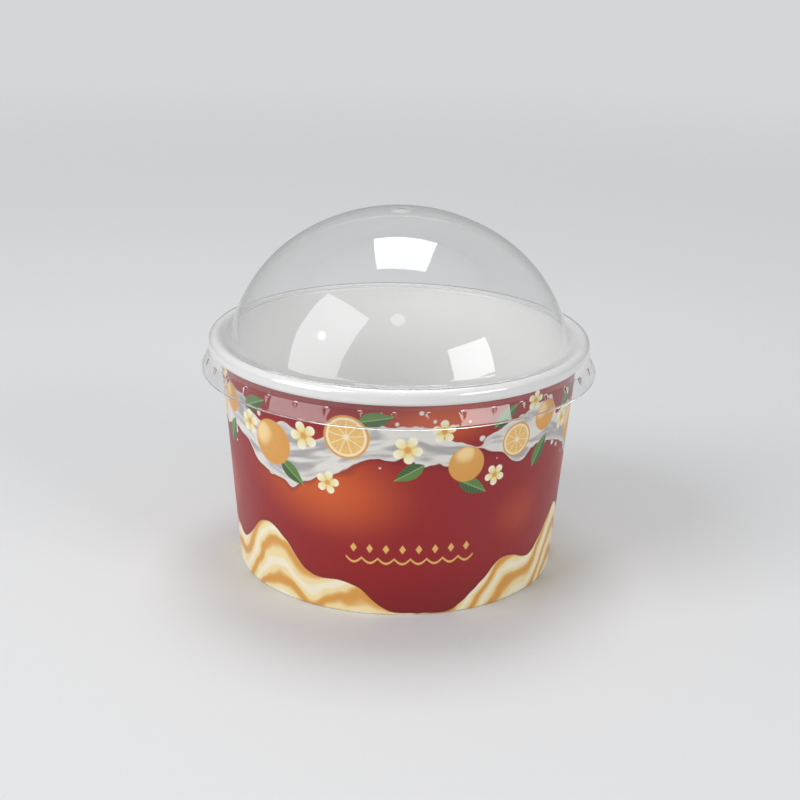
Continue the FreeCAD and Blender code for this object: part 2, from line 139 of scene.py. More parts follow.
# Motifs as (across, height, radius, turn in degrees).
PETALS = 5
SEGMENTS = 9
LEAVES = (
    (-39, 50, 4.6, 24), (-27, 35, 4.4, -38), (-5, 52, 4.4, 12), (3, 38.5, 4.2, -150),
    (19, 34, 4.4, -28), (27, 51, 4.2, 40), (40, 39, 4.6, 58),
)
APRICOTS = ((-33, 41.5, 5.8, 20), (17, 40, 4.6, -30), (41, 48, 4, 10))
SLICES = ((-12, 47, 5.6, 8), (31, 44, 4.4, 30))
BLOSSOMS = (
    (-41.5, 44.5, 3.2, 15), (-23, 45.5, 3.7, 40), (-17, 34.5, 3, 5), (2.5, 44.5, 3.6, 62),
    (11, 49, 3, 20), (25, 36, 2.8, 50), (36, 53, 2.6, 10),
)

# Tints of the print and the board beside the ink colours, in linear light.
# FOOT_SHADE is painted shade, laid over the ground low on the wall.
FOOT_SHADE = (0.1, 0.006, 0.008)
SHADOW = (0.1, 0.01, 0.01)
CREST = (0.86, 0.82, 0.7)
GILT = (0.72, 0.42, 0.12)
PETAL_TIP = (0.86, 0.83, 0.68)
LEAF_LIGHT = (0.09, 0.2, 0.045)
LEAF_VEIN = (0.2, 0.32, 0.1)
LEAF_RIB = (0.25, 0.36, 0.12)
APRICOT_LIGHT = (0.92, 0.72, 0.36)
PULP = (0.86, 0.6, 0.22)
PITH = (0.84, 0.74, 0.5)
FIBRE = (0.72, 0.72, 0.71)

# The stage. AMBIENT is the surround's strength. BACKDROP is the backdrop's for the camera
# and through film, and GLOSS its strength in reflections. The floor lies FLOOR_DROP under
# the foot. It is clear within COVERED of the middle and fades between the FADE distances.
AMBIENT = 0.3
BACKDROP = 1.0
GLOSS = 0.55
FLOOR_SEGMENTS = 96
FLOOR_DROP = 0.02 * MM
FADE_START = 0.2
FADE_END = 0.8
COVERED = 39 * MM
CLIP_START = 0.01

# Lamps as (name, azimuth, elevation, distance, size, watts, shape), in degrees and metres.
LAMPS = (
    ("overhead lamp", 177, 70, 0.95, (0.42, 0.5), 4.3),
    ("left lamp", -58, 29, 0.95, (0.66, 0.9), 7),
    ("right lamp", 50.5, 18, 1.05, (0.55, 0.4), 4.2),
    ("left lamp's core", -60, 29, 0.94, (0.1, 0.1), 0.1, "DISK"),
    ("round lamp", -2, 52.8, 1.0, (0.16, 0.16), 0.15, "DISK"),
)


def length(name, description, millimetres):
    """A length that the sidebar shows, with its default in millimetres."""
    return FloatProperty(name=name, description=description, default=millimetres * MM,
                         unit="LENGTH", precision=5)


def angle(name, description, degrees):
    """An angle that the sidebar shows, with its default in degrees."""
    return FloatProperty(name=name, description=description,
                         default=math.radians(degrees), subtype="ANGLE")


def colour(name, description, red, green, blue):
    """A colour that the sidebar shows, in linear light."""
    return FloatVectorProperty(name=name, description=description, subtype="COLOR",
                               size=3, min=0, max=1, default=(red, green, blue))


# ---------------------------------------------------------------- sizes and colours


class TubSizes(bpy.types.PropertyGroup):
    """Sizes of the paper tub."""

    foot_radius: length("Foot radius", "Outer radius of the wall at its foot", 40.6)
    board: length("Board", "Thickness of the wall's paper", 0.45)
    curl_width: length("Curl width", "Width of the rolled rim", 2.8)
    curl_depth: length("Curl depth", "Height of the rolled rim", 3.6)
    curl_slit: length("Curl slit", "Gap between the wall and the tail of the roll", 0.2)
    curl_tail: length("Curl tail", "Straight end of the paper inside the roll", 0.5)
    lap_width: length("Lap width", "Overlap of the side seam", 8)
    lap_ramp: length("Lap ramp", "Stretch over which the overlap comes down to the wall", 2.5)
    lap_step: length("Lap step", "How far the overlap stands out", 0.3)
    lap_margin: length("Lap margin", "End of the overlap to the fold and to the roll", 0.4)
    recess: length("Recess", "Table to the underside of the bottom", 7)
    bottom_board: length("Bottom board", "Thickness of the bottom's paper", 0.35)
    bottom_bend: length("Bottom bend", "Bend from the bottom into its skirt", 0.8)
    glue_gap: length("Bond line", "Bond line on each side of the bottom's skirt", 0.02)
    hem_clearance: length("Hem clearance", "Top of the hem to the bottom", 1)
    skirt_clearance: length("Skirt clearance", "Edge of the skirt to the fold", 0.3)


class LidSizes(bpy.types.PropertyGroup):
    """Sizes of the clear lid."""

    film: length("Film", "Thickness of the lid's sheet", 0.3)
    dome_join: angle("Dome join", "Angle off the axis where crown and shoulder meet", 33.8)
    dome_lean: angle("Dome lean", "Lean of the dome's wall at its foot", 14.8)
    groove_inset: length("Groove inset", "Rim's outer radius to the groove", 3.75)
    groove_bend: length("Groove bend", "Upper radius of the groove", 1.5)
    plug_depth: length("Plug depth", "How far the groove dips into the mouth", 0.4)
    ledge_bend: length("Ledge bend", "Outer radius of the ledge over the rim", 1.85)
    seat_gap: length("Seat gap", "Rim to the ledge on it", 0.05)
    side_gap: length("Side gap", "Rim to the skirt beside it", 0.15)
    skirt_draft: angle("Skirt draft", "Flare of the skirt beside the rim", 4)
    flare_drop: length("Flare drop", "Top of the rim to the bend into the flare", 4.2)
    flare_bend: length("Flare bend", "Outer radius of the bend into the flare", 1)
    flare_draft: angle("Flare draft", "Flare of the skirt below its bend", 17.5)
    skirt_drop: length("Skirt drop", "Top of the rim to the upper face of the flange", 8.2)
    flange_bend: length("Flange bend", "Upper radius from the skirt into the flange", 0.25)
    lug_count: IntProperty(name="Dimples", description="Dimples round the skirt",
                           default=38, min=3)
    lug_start: angle("First dimple", "Direction of the first dimple from +X", -91)
    lug_drop: length("Dimple drop", "Top of the rim to the top of the dimples", 4.6)
    lug_height: length("Dimple height", "Height of a dimple", 2.4)
    lug_radius: length("Dimple radius", "Rounded front of a dimple at its top", 1.2)
    lug_tip: length("Dimple tip", "Rounded front of a dimple at its lower tip", 0.25)
    lug_clearance: length("Dimple clearance", "Rim to the front of the dimples", 0.05)
    pip_radius: length("Pip radius", "Radius of the moulding pip on the crown", 0.9)
    pip_top: length("Pip top", "Radius of the pip's upper face", 0.6)
    pip_height: length("Pip height", "Height of the pip", 0.25)


class InkColours(bpy.types.PropertyGroup):
    """Colours of the print and of the bare board."""

    crimson: colour("Crimson", "Dark ground of the print", 0.27, 0.006, 0.009)
    orange: colour("Orange", "Glow in the ground", 0.58, 0.095, 0.014)
    cream: colour("Cream", "Light part of the ribbon", 0.69, 0.67, 0.63)
    milk: colour("Milk", "Shaded part of the ribbon", 0.37, 0.35, 0.35)
    gold: colour("Gold", "Fruit and ornament", 0.66, 0.33, 0.08)
    custard: colour("Custard", "Light part of the waves at the foot", 0.84, 0.69, 0.36)
    caramel: colour("Caramel", "Dark part of the waves at the foot", 0.66, 0.31, 0.06)
    petal: colour("Petal", "Petals of the blossoms", 0.78, 0.68, 0.28)
    leaf: colour("Leaf", "Leaves", 0.035, 0.1, 0.03)
    board: colour("Board", "Bare coated board", 0.83, 0.83, 0.825)


class StageSizes(bpy.types.PropertyGroup):
    """Camera and ground."""

    lens: FloatProperty(name="Lens", description="Focal length of the camera", default=81,
                        unit="CAMERA")
    eye: FloatVectorProperty(name="Eye", description="Place of the camera", unit="LENGTH",
                             default=(0, -0.43877, 0.19358), precision=5)
    aim: FloatVectorProperty(name="Aim", description="Point in the middle of the view",
                             unit="LENGTH", default=(0.00052, 0, 0.04161), precision=5)
    roll: angle("Roll", "Roll of the camera", 1.21)
    floor_radius: FloatProperty(name="Floor radius", description="Radius of the floor",
                                default=6, unit="LENGTH")
    floor: colour("Floor", "Colour of the floor and the backdrop", 0.66, 0.67, 0.68)


# ---------------------------------------------------------------- sheets


class Bend:
    """A bend of a sheet, seen in section at (x, z).

    turn is 1 where the sheet turns right along its way, -1 where it turns left and 0 at an
    end or at a left turn whose left side is sharp. The radius is that of the left side.
    """

    def __init__(self, x, z, radius=0.0, turn=0):
        self.centre = Vector((x, 0, z))
        self.radius = radius * turn
        self.turn = turn


def run_normal(bend, following):
    """The left-hand normal of the straight run that touches two bends."""
    way = following.centre - bend.centre
    share = max(-1.0, min(1.0, (bend.radius - following.radius) / way.length))
    unit = way.normalized()
    left = Vector((-unit.z, 0, unit.x))
    return unit * share + left * math.sqrt(1 - share * share)


def section_normals(bends, from_axis):
    """Left-hand normals of a sheet before, between and after its bends."""
    runs = [run_normal(bend, following) for bend, following in zip(bends, bends[1:])]
    return [UP if from_axis else runs[0], *runs, runs[-1]]


def draw_side(bm, bends, normals, depth, step):
    """Draws the side of a section that lies at a depth below its left side, as edges.

    Returns where the side begins and ends.
    """
    begin = last = None
    for bend, arrive, leave in zip(bends, normals, normals[1:]):
        radius = bend.radius - depth
        vert = bm.verts.new(bend.centre + arrive * radius)
        if last:
            bm.edges.new((last, vert))
        else:
            begin = vert.co.copy()
        last = vert
        swing = arrive.angle(leave) * (1 if bend.turn > 0 else -1)
        if abs(radius) > TINY and abs(swing) > TINY:
            steps = math.ceil(max(abs(swing * radius) / step, abs(swing) / COARSEST_TURN))
            spun = bmesh.ops.spin(bm, geom=[vert], cent=bend.centre, axis=(0, 1, 0),
                                  angle=swing, steps=steps)
            last = next(i for i in spun["geom_last"] if isinstance(i, bmesh.types.BMVert))
    return begin, last.co.copy()


def sweep(bm, section, turns, finish):
    """Turns edges about the upright axis through (angle, steps) pairs, in one finish."""
    old_faces = set(bm.faces)
    for swing, steps in turns:
        spun = bmesh.ops.spin(bm, geom=section, cent=(0, 0, 0), axis=UP, angle=swing,
                              steps=steps, use_merge=swing == FULL_TURN)
        section = spun["geom_last"]
    for face in set(bm.faces) - old_faces:
        face.material_index = finish


def turned_sheet(bends, thickness, turns, step, finishes=(0, 0), from_axis=False):
    """A bmesh of a sheet turned about the upright axis, with a finish for each side.

    Its ends are closed by narrow faces, apart from one that lies on the axis.
    """
    bm = bmesh.new()
    normals = section_normals(bends, from_axis)
    sides = []
    for depth, finish in zip((0, thickness), finishes):
        old = {*bm.verts, *bm.edges}
        sides.append(draw_side(bm, bends, normals, depth, step))
        section = [item for item in (*bm.verts, *bm.edges) if item not in old]
        sweep(bm, section, turns, finish)
    ends = list(zip(*sides))
    for over, under in ends[1:] if from_axis else ends:
        edge = bm.edges.new((bm.verts.new(over), bm.verts.new(under)))
        sweep(bm, [*edge.verts, edge], turns, finishes[0])
    return bm


def cut_levels(bm, levels):
    """Adds a loop of edges at each height."""
    for level in levels:
        bmesh.ops.bisect_plane(bm, geom=[*bm.verts, *bm.edges, *bm.faces], dist=TINY,
                               plane_co=(0, 0, level), plane_no=UP)


def finish_piece(bm, name, materials, body, node):
    """Makes a piece of a bmesh, which it closes and frees, and lets it stand for its node."""
    bmesh.ops.remove_doubles(bm, verts=bm.verts, dist=WELD)
    bmesh.ops.dissolve_degenerate(bm, edges=bm.edges, dist=WELD)
    bmesh.ops.recalc_face_normals(bm, faces=bm.faces)
    mesh = bpy.data.meshes.new(name)
    bm.to_mesh(mesh)
    bm.free()
    for material in materials:
        mesh.materials.append(material)
    mesh.shade_smooth()
    mesh.set_sharp_from_angle(angle=SHARP)
    piece = bpy.data.objects.new(name, mesh)
    bpy.context.scene.collection.objects.link(piece)
    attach(piece, body)
    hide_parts(node)


# ---------------------------------------------------------------- nodes


class Tree:
    """Adds nodes to a node tree and joins them."""

    def __init__(self, tree):
        self.tree = tree

    def node(self, kind, **settings):
        """A node with its settings."""
        made = self.tree.nodes.new(kind)
        for name, value in settings.items():
            setattr(made, name, value)
        return made

    def feed(self, socket, value):
        """Joins a socket to another, or sets its own value."""
        if isinstance(value, bpy.types.NodeSocket):
            self.tree.links.new(value, socket)
        elif socket.type == "RGBA" and len(value) == 3:
            socket.default_value = (*value, 1)
        else:
            socket.default_value = value

    def made(self, kind, inputs, output=0, **settings):
        """The output of a node whose inputs are fed by name or number."""
        node = self.node(kind, **settings)
        for key, value in inputs.items():
            self.feed(node.inputs[key], value)
        return node.outputs[output]

    def math(self, operation, *values):
        """A Math node."""
        return self.made("ShaderNodeMath", dict(enumerate(values)), operation=operation)

    def measure(self, operation, *vectors):
        """A number that a Vector Math node works out."""
        inputs = dict(enumerate(vectors))
        return self.made("ShaderNodeVectorMath", inputs, 1, operation=operation)

    def ramp(self, value, start, end, low=0.0, high=1.0, smooth=False):
        """Takes a value from start..end to low..high and keeps it there."""
        inputs = {0: value, 1: start, 2: end, 3: low, 4: high}
        kind = "SMOOTHSTEP" if smooth else "LINEAR"
        return self.made("ShaderNodeMapRange", inputs, interpolation_type=kind)

    def inside(self, distance, blur):
        """1 where a signed distance is below 0, with an edge as wide as blur."""
        return self.ramp(distance, blur / 2, -blur / 2)

    def mix(self, share, first, second):
        """A colour between two."""
        inputs = {"Factor": share, 6: first, 7: second}
        return self.made("ShaderNodeMix", inputs, 2, data_type="RGBA")

    def noise(self, place, scale, detail=2.0, **inputs):
        """A Noise texture's value."""
        inputs = {"Vector": place, "Scale": scale, "Detail": detail, **inputs}
        return self.made("ShaderNodeTexNoise", inputs)

    def wave(self, across, period, shift, size):
        """A sine of a size, over a way in mm with a period in mm and a shift in radians."""
        turn = self.math("MULTIPLY_ADD", across, FULL_TURN / period, shift)
        return self.math("MULTIPLY", self.math("SINE", turn), size)

    def parts(self, place):
        """The three parts of a vector."""
        node = self.node("ShaderNodeSeparateXYZ")
        self.feed(node.inputs[0], place)
        return tuple(node.outputs)


def new_group(name, inputs, outputs):
    """A new shader node group: its nodes, and its inputs and outputs by name."""
    tree = bpy.data.node_groups.new(name, "ShaderNodeTree")
    for label, kind in inputs.items():
        tree.interface.new_socket(label, in_out="INPUT", socket_type=kind)
    for label, kind in outputs.items():
        tree.interface.new_socket(label, in_out="OUTPUT", socket_type=kind)
    nodes = Tree(tree)
    entry = nodes.node("NodeGroupInput")
    leave = nodes.node("NodeGroupOutput")
    return nodes, entry.outputs, leave.inputs


VECTOR = "NodeSocketVector"
COLOUR = "NodeSocketColor"
NUMBER = "NodeSocketFloat"
MOTIF_OUT = {"Colour": COLOUR, "Mask": NUMBER}


def blossom_group():
    """A blossom of radius 1."""
    nodes, given, result = new_group(
        "Blossom", {"Place": VECTOR, "Petal": COLOUR, "Heart": COLOUR}, MOTIF_OUT)
    x, y, _ = nodes.parts(given["Place"])
    out = nodes.measure("LENGTH", given["Place"])
    around = nodes.math("MULTIPLY", nodes.math("ARCTAN2", y, x), PETALS / 2)
    lobe = nodes.math("ABSOLUTE", nodes.math("COSINE", around))
    reach = nodes.math("MULTIPLY_ADD", nodes.math("POWER", lobe, 0.55), 0.6, 0.4)
    nodes.feed(result["Mask"], nodes.inside(nodes.math("SUBTRACT", out, reach), 0.07))
    tip = nodes.mix(nodes.ramp(out, 0.35, 0.95), given["Petal"], PETAL_TIP)
    fold = nodes.ramp(lobe, 0.0, 0.75, 0.5, 0.0, smooth=True)
    petals = nodes.mix(fold, tip, given["Heart"])
    heart = nodes.ramp(out, 0.16, 0.34, 1.0, 0.0, smooth=True)
    nodes.feed(result["Colour"], nodes.mix(heart, petals, given["Heart"]))
    return nodes.tree


def leaf_group():
    """A pointed leaf from -1 to 1, with a rib and veins."""
    nodes, given, result = new_group("Leaf", {"Place": VECTOR, "Leaf": COLOUR}, MOTIF_OUT)
    x, y, _ = nodes.parts(given["Place"])
    side = nodes.math("ABSOLUTE", y)
    taper = nodes.math("MULTIPLY_ADD", nodes.math("MULTIPLY", x, x), -0.44, 0.44)
    heavy_end = nodes.math("MAXIMUM", nodes.math("MULTIPLY_ADD", x, -0.35, 1.0), 0.1)
    swell = nodes.math("MULTIPLY", taper, heavy_end)
    nodes.feed(result["Mask"], nodes.inside(nodes.math("SUBTRACT", side, swell), 0.06))
    half = nodes.mix(nodes.ramp(y, -0.04, 0.04), given["Leaf"], LEAF_LIGHT)
    slant = nodes.math("MULTIPLY_ADD", side, -1.1, x)
    veins = nodes.ramp(nodes.math("SINE", nodes.math("MULTIPLY", slant, 26)), 0.6, 1.0, 0, 0.35)
    veined = nodes.mix(veins, half, LEAF_VEIN)
    rib = nodes.inside(nodes.math("SUBTRACT", side, 0.03), 0.04)
    nodes.feed(result["Colour"], nodes.mix(rib, veined, LEAF_RIB))
    return nodes.tree


def apricot_group():
    """A round fruit of radius 1, lit from the upper left, with a cleft."""
    nodes, given, result = new_group(
        "Apricot", {"Place": VECTOR, "Fruit": COLOUR, "Shade": COLOUR}, MOTIF_OUT)
    x, y, _ = nodes.parts(given["Place"])
    out = nodes.measure("LENGTH", given["Place"])
    nodes.feed(result["Mask"], nodes.inside(nodes.math("SUBTRACT", out, 1), 0.05))
    bulge = nodes.math("SQRT", nodes.math("MAXIMUM", nodes.math(
        "MULTIPLY_ADD", out, nodes.math("MULTIPLY", out, -1), 1), 0))
    slope = nodes.measure("DOT_PRODUCT", given["Place"], (-0.42, 0.52, 0))
    light = nodes.math("MULTIPLY_ADD", bulge, 0.72, slope)
    skin = nodes.mix(nodes.ramp(light, 0.05, 0.75, smooth=True), given["Shade"], given["Fruit"])
    lit = nodes.mix(nodes.ramp(light, 0.7, 0.98, 0, 0.75, smooth=True), skin, APRICOT_LIGHT)
    bow = nodes.math("MULTIPLY_ADD", nodes.math("MULTIPLY", y, y), -0.38, 0.3)
    gap = nodes.math("ABSOLUTE", nodes.math("SUBTRACT", x, bow))
    cleft = nodes.math("MULTIPLY", nodes.ramp(gap, 0.02, 0.12, 0.7, 0), nodes.ramp(y, -0.7, 0.3))
    nodes.feed(result["Colour"], nodes.mix(cleft, lit, given["Shade"]))
    return nodes.tree


def slice_group():
    """A cut citrus fruit of radius 1: rind, pith and segments."""
    nodes, given, result = new_group(
        "Citrus slice", {"Place": VECTOR, "Flesh": COLOUR, "Rind": COLOUR}, MOTIF_OUT)
    x, y, _ = nodes.parts(given["Place"])
    out = nodes.measure("LENGTH", given["Place"])
    nodes.feed(result["Mask"], nodes.inside(nodes.math("SUBTRACT", out, 1), 0.05))
    around = nodes.math("MULTIPLY", nodes.math("ARCTAN2", y, x), SEGMENTS / 2)
    apart = nodes.math("MULTIPLY", nodes.math("ABSOLUTE", nodes.math("SINE", around)), out)
    flesh = nodes.mix(nodes.noise(given["Place"], 5, Distortion=1.5), given["Flesh"], PULP)
    webbed = nodes.mix(nodes.ramp(apart, 0.05, 0.11, 1, 0), flesh, PITH)
    hearted = nodes.mix(nodes.ramp(out, 0.1, 0.16, 1, 0), webbed, PITH)
    ringed = nodes.mix(nodes.ramp(out, 0.76, 0.82), hearted, PITH)
    nodes.feed(result["Colour"], nodes.mix(nodes.ramp(out, 0.87, 0.92), ringed, given["Rind"]))
    return nodes.tree


def grain_group():
    """Fine grain of coated board."""
    nodes, given, result = new_group(
        "Board grain", {"Place": VECTOR, "Roughness": NUMBER},
        {"Height": NUMBER, "Roughness": NUMBER})
    fine = nodes.noise(given["Place"], FINE_GRAIN, 3.0)
    broad = nodes.noise(given["Place"], BROAD_GRAIN, 2.0)
    nodes.feed(result["Height"], nodes.math("MULTIPLY_ADD", broad, 2.5, fine))
    nodes.feed(result["Roughness"], nodes.math(
        "ADD", given["Roughness"], nodes.ramp(broad, 0.3, 0.7, -0.03, 0.03)))
    return nodes.tree


def new_material(name):
    """A new material, its nodes, its shader and the coordinates of the piece."""
    material = bpy.data.materials.new(name)
    material.use_nodes = True
    nodes = Tree(material.node_tree)
    shader = material.node_tree.nodes["Principled BSDF"]
    place = nodes.node("ShaderNodeTexCoord").outputs["Object"]
    return material, nodes, shader, place


# ---------------------------------------------------------------- board


def board_material(name, roughness, paint):
    """Coated board, whose colour the function paint works out from the piece's coordinates."""
    material, nodes, shader, place = new_material(name)
    grain = nodes.node("ShaderNodeGroup", node_tree=bpy.data.node_groups["Board grain"])
    nodes.feed(grain.inputs["Place"], place)
    nodes.feed(grain.inputs["Roughness"], roughness)
    nodes.feed(shader.inputs["Roughness"], grain.outputs["Roughness"])
    nodes.feed(shader.inputs["Normal"], nodes.made(
        "ShaderNodeBump", {"Height": grain.outputs["Height"], "Strength": 0.12,
                           "Distance": 0.01 * MM}))
    nodes.feed(shader.inputs["Base Color"], paint(nodes, place))
    return material


def paint_bare(nodes, place):
    """Bare board, with the faint cloudiness of its fibres."""
    ink = bpy.context.scene.tub_inks
    cloud = nodes.ramp(nodes.noise(place, CLOUDS, 4.0), 0.35, 0.65, 0, 0.05)
    return nodes.mix(cloud, tuple(ink.board), FIBRE)


class Print:
    """The print round the wall, painted layer on layer.

    across and height are mm along the wall, from the middle of a panel, and up from its foot.
    The panels follow each other round the wall, and their ribbon and waves run on.
    """

    def __init__(self, nodes, place):
        self.nodes = nodes
        self.ink = bpy.context.scene.tub_inks
        self.place = place
        self.x, self.y, z = nodes.parts(place)
        turn = nodes.math("ARCTAN2", self.x, nodes.math("MULTIPLY", self.y, -1))
        round_wall = nodes.math("MULTIPLY", turn, PRINT_RADIUS)
        self.across = nodes.math("WRAP", round_wall, PANEL / 2, -PANEL / 2)
        self.height = nodes.math("DIVIDE", z, MM)
        self.flat = nodes.made("ShaderNodeCombineXYZ", {"X": self.across, "Y": self.height})
        self.ripple = nodes.math("SUBTRACT", nodes.noise(place, RIPPLES, 1.5), 0.5)
        self.colour = tuple(self.ink.crimson)

    def local(self, across, height, size, turn=0.0):
        """Coordinates in which a motif is upright, in the middle and of radius 1."""
        size = size if isinstance(size, tuple) else (size, size)
        inputs = {"Vector": self.flat, "Location": (across, height, 0),
                  "Rotation": (0, 0, math.radians(turn)), "Scale": (*size, 1)}
        return self.nodes.made("ShaderNodeMapping", inputs, vector_type="TEXTURE")

    def lay(self, share, colour):
        """Lays a colour over what is painted so far."""
        self.colour = self.nodes.mix(share, self.colour, colour)

    def motif(self, kind, across, height, size, turn, **colours):
        """Lays one motif of a kind."""
        group = self.nodes.node("ShaderNodeGroup", node_tree=bpy.data.node_groups[kind])
        self.nodes.feed(group.inputs["Place"], self.local(across, height, size, turn))
        for name, value in colours.items():
            self.nodes.feed(group.inputs[name], tuple(value))
        self.lay(group.outputs["Mask"], group.outputs["Colour"])

    def ground(self):
        """Crimson ground with orange glows, and painted shade that darkens it towards the foot."""
        nodes = self.nodes
        for across, height, size, turn, strength in GLOWS:
            out = nodes.measure("LENGTH", self.local(across, height, size, turn))
            self.lay(nodes.ramp(out, 1, 0.05, 0, strength, smooth=True), tuple(self.ink.orange))
        # painted shade: the ground darkens towards the foot
        self.lay(nodes.ramp(self.height, 14, 0, 0, 0.35, smooth=True), FOOT_SHADE)

    def waves(self):
        """Custard waves that roll along the foot, in layers that follow their crests."""
        nodes = self.nodes
        top = nodes.math("MULTIPLY", self.ripple, 4)
        for middle, sharpness, rise in CRESTS:
            shift = math.pi / 2 - middle * FULL_TURN / PANEL
            swell = nodes.math("ADD", nodes.wave(self.across, PANEL, shift, 0.5), 0.5)
            peak = nodes.math("POWER", swell, sharpness)
            top = nodes.math("MULTIPLY_ADD", peak, rise, top)
        below = nodes.math("SUBTRACT", top, self.height)
        slant = nodes.math("MULTIPLY", self.across, WAVE_LAYERS * FULL_TURN / PANEL)
        swirl = nodes.math("MULTIPLY_ADD", below, 0.75, slant)
        layer = nodes.math("SINE", nodes.math("MULTIPLY_ADD", self.ripple, 4, swirl))
        body = nodes.mix(nodes.ramp(layer, -1, 0.2, smooth=True),
                         tuple(self.ink.caramel), tuple(self.ink.custard))
        crest = nodes.mix(nodes.ramp(layer, 0.5, 1.0, 0, 0.8, smooth=True), body, CREST)
        self.lay(nodes.ramp(below, -1.6, 0, 0, 0.3, smooth=True), SHADOW)
        self.lay(nodes.inside(nodes.math("MULTIPLY", below, -1), 0.25), crest)

    def waved(self, level, waves):
        """A level with waves on it, which close up over a panel."""
        for count, shift, size in waves:
            wave = self.nodes.wave(self.across, PANEL / count, shift, size)
            level = self.nodes.math("ADD", wave, level)
        return level

    def ribbon(self):
        """A cream ribbon that winds round under the rim, with drops beside it."""
        nodes = self.nodes
        middle = self.waved(RIBBON_HEIGHT, RIBBON_WINDS)
        half = self.waved(RIBBON_HALF, RIBBON_SWELLS)
        aside = nodes.math("SUBTRACT", self.height, middle)
        lobed = nodes.math("MULTIPLY_ADD", self.ripple, -RIBBON_RAGGED,
                           nodes.math("ABSOLUTE", aside))
        beyond = nodes.math("SUBTRACT", lobed, half)
        shadow = nodes.math("MULTIPLY", nodes.ramp(beyond, 1.8, 0, 0, 0.45, smooth=True),
                            nodes.ramp(aside, 0, -1))
        self.lay(shadow, SHADOW)
        stream = nodes.made("ShaderNodeMapping", {"Vector": nodes.made(
            "ShaderNodeCombineXYZ", {"X": self.x, "Y": self.y, "Z": aside}),
            "Scale": RIBBON_FOLDS})
        fold = nodes.noise(stream, 1.6, 1.5, Distortion=0.8)
        cream = nodes.mix(nodes.ramp(fold, 0.38, 0.6, smooth=True),
                          tuple(self.ink.milk), tuple(self.ink.cream))
        rimmed = nodes.mix(nodes.ramp(beyond, -1.6, -0.2, 0, 0.7), cream, tuple(self.ink.cream))
        self.lay(nodes.inside(beyond, 0.25), rimmed)
        cells = nodes.node("ShaderNodeTexVoronoi")
        nodes.feed(cells.inputs["Vector"], self.place)
        nodes.feed(cells.inputs["Scale"], DROPS)
        spread = nodes.ramp(beyond, 0.2, 4.5, 0.34, 0)
        drop = nodes.math("SUBTRACT", cells.outputs["Distance"], spread)
        near = nodes.math("MULTIPLY", nodes.inside(drop, 0.06), nodes.ramp(beyond, 0, 0.3))
        chosen = nodes.math("MULTIPLY", near, nodes.ramp(
            nodes.parts(cells.outputs["Color"])[0], 0.6, 0.62))
        self.lay(chosen, tuple(self.ink.cream))

    def trim(self):
        """A gold garland: a scalloped line under a row of diamonds."""
        nodes = self.nodes
        aside = nodes.math("SUBTRACT", self.across, TRIM_MIDDLE)
        swag = nodes.math("ABSOLUTE", nodes.wave(aside, 2 * TRIM_PITCH, 0, TRIM_SAG))
        line = nodes.math("ABSOLUTE", nodes.math("ADD", nodes.math(
            "SUBTRACT", self.height, TRIM_HEIGHT), swag))
        within = nodes.inside(nodes.math("SUBTRACT", nodes.math("ABSOLUTE", aside), TRIM_HALF), 0.1)
        garland = nodes.math("MULTIPLY", nodes.inside(
            nodes.math("SUBTRACT", line, TRIM_LINE), 0.2), within)
        self.lay(garland, GILT)
        step = nodes.math("WRAP", nodes.math("ADD", aside, TRIM_PITCH / 2), TRIM_PITCH / 2,
                          -TRIM_PITCH / 2)
        rise = nodes.math("SUBTRACT", self.height, TRIM_HEIGHT + TRIM_GAP)
        out = nodes.math("ADD", nodes.math("ABSOLUTE", step), nodes.math(
            "MULTIPLY", nodes.math("ABSOLUTE", rise), DIAMOND_SLIM))
        diamond = nodes.math("MULTIPLY", nodes.inside(
            nodes.math("SUBTRACT", out, DIAMOND_HALF), 0.2), within)
        self.lay(diamond, GILT)

    def motifs(self):
        """Leaves, then fruit, then blossoms."""
        ink = self.ink
        for across, height, size, turn in LEAVES:
            self.motif("Leaf", across, height, size, turn, Leaf=ink.leaf)
        for across, height, size, turn in APRICOTS:
            self.motif("Apricot", across, height, size, turn, Fruit=ink.gold, Shade=ink.caramel)
        for across, height, size, turn in SLICES:
            self.motif("Citrus slice", across, height, size, turn, Flesh=ink.gold, Rind=ink.caramel)
        for across, height, size, turn in BLOSSOMS:
            self.motif("Blossom", across, height, size, turn, Petal=ink.petal, Heart=ink.gold)


def paint_print(nodes, place):
    """The printed side of the wall."""
    wall_print = Print(nodes, place)
    wall_print.ground()
    wall_print.waves()
    wall_print.ribbon()
    wall_print.motifs()
    wall_print.trim()
    return wall_print.colour


# ---------------------------------------------------------------- pieces


class TUB_OT_materials(bpy.types.Operator):
    """Makes the motifs, the board's grain and the board's two finishes"""

    bl_idname = "tub.materials"
    bl_label = "Board and print"

    def execute(self, context):
        for make_group in (grain_group, blossom_group, leaf_group, apricot_group, slice_group):
            make_group()
        board_material("Bare board", BARE_ROUGHNESS, paint_bare)
        board_material("Printed board", PRINT_ROUGHNESS, paint_print)
        return {"FINISHED"}


def wall_lean(tub):
    """Lean of the wall off the upright, from its heel to its rim."""
    bend = tub.curl_width / 2
    run = RIM_RADIUS - bend - (tub.foot_radius - tub.board)
    rise = CUP_HEIGHT - bend - tub.board
    return math.atan2(run, rise) - math.asin(bend / math.hypot(run, rise))


def wall_inside(tub, height):
    """Inner radius of the wall at a height."""
    heel = tub.foot_radius - tub.board
    return heel + (height - tub.board) * math.tan(wall_lean(tub))


def wall_outside(tub, height):
    """Outer radius of the wall at a height."""
    return wall_inside(tub, height) + tub.board / math.cos(wall_lean(tub))


